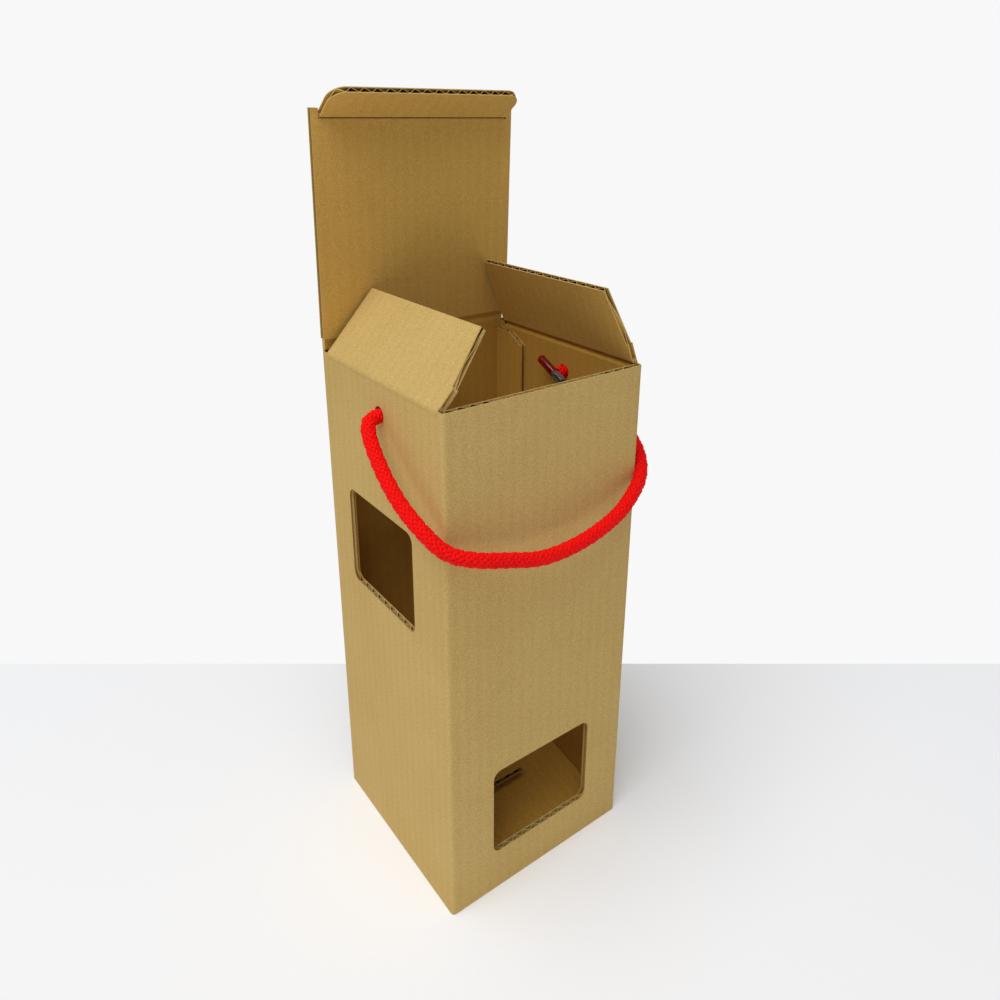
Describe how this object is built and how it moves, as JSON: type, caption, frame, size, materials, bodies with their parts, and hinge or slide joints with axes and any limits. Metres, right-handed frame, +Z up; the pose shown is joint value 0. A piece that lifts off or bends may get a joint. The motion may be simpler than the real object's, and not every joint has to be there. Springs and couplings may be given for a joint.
{
  "type": "bottle shipping box",
  "caption": "Tall square box of fluted board with a hinged lid and tuck flap, dust flaps, a window in the front and the side, and a rope handle.",
  "frame": {"origin": "middle of the base, where the box stands", "axes": "+Z up, +X to the right seen from the front, -Y towards the front wall that carries the rope handle and the low window"},
  "size_m": [0.136, 0.1238, 0.3717],
  "materials": {
    "board": "matt kraft paper liners over fluting",
    "rope": "braided synthetic cord",
    "bar": "moulded plastic"
  },
  "bodies": {
    "box": {"box_body": "board", "rope_handle": "rope", "left_rope_bar": "bar", "right_rope_bar": "bar"},
    "lid": {"lid": "board"},
    "tuck": {"tuck_flap": "board"},
    "left_dust": {"left_dust_flap": "board"},
    "right_dust": {"right_dust_flap": "board"}
  },
  "joints": [
    {"name": "lid_hinge", "type": "hinge", "parent": "box", "child": "lid", "pos_m": [0, 0.0525, 0.2593], "axis": [1, 0, 0], "range_deg": [-92, 88], "deforming": ["left_dust_flap", "right_dust_flap"]},
    {"name": "tuck_hinge", "type": "hinge", "parent": "lid", "child": "tuck", "pos_m": [0, 0.04895, 0.36094], "axis": [1, 0, 0], "range_deg": [-52.5, 50.2]},
    {"name": "left_dust_hinge", "type": "hinge", "parent": "box", "child": "left_dust", "pos_m": [-0.053, 0, 0.256], "axis": [0, 1, 0], "range_deg": [-50.3, 48.1]},
    {"name": "right_dust_hinge", "type": "hinge", "parent": "box", "child": "right_dust", "pos_m": [0.053, 0, 0.256], "axis": [0, -1, 0], "range_deg": [-71.2, 68.1]}
  ],
  "couplings": [
    {"joint": "tuck_hinge", "follows": "lid_hinge", "ratio": 0.57},
    {"joint": "left_dust_hinge", "follows": "lid_hinge", "ratio": 0.54545},
    {"joint": "right_dust_hinge", "follows": "lid_hinge", "ratio": 0.77273}
  ]
}
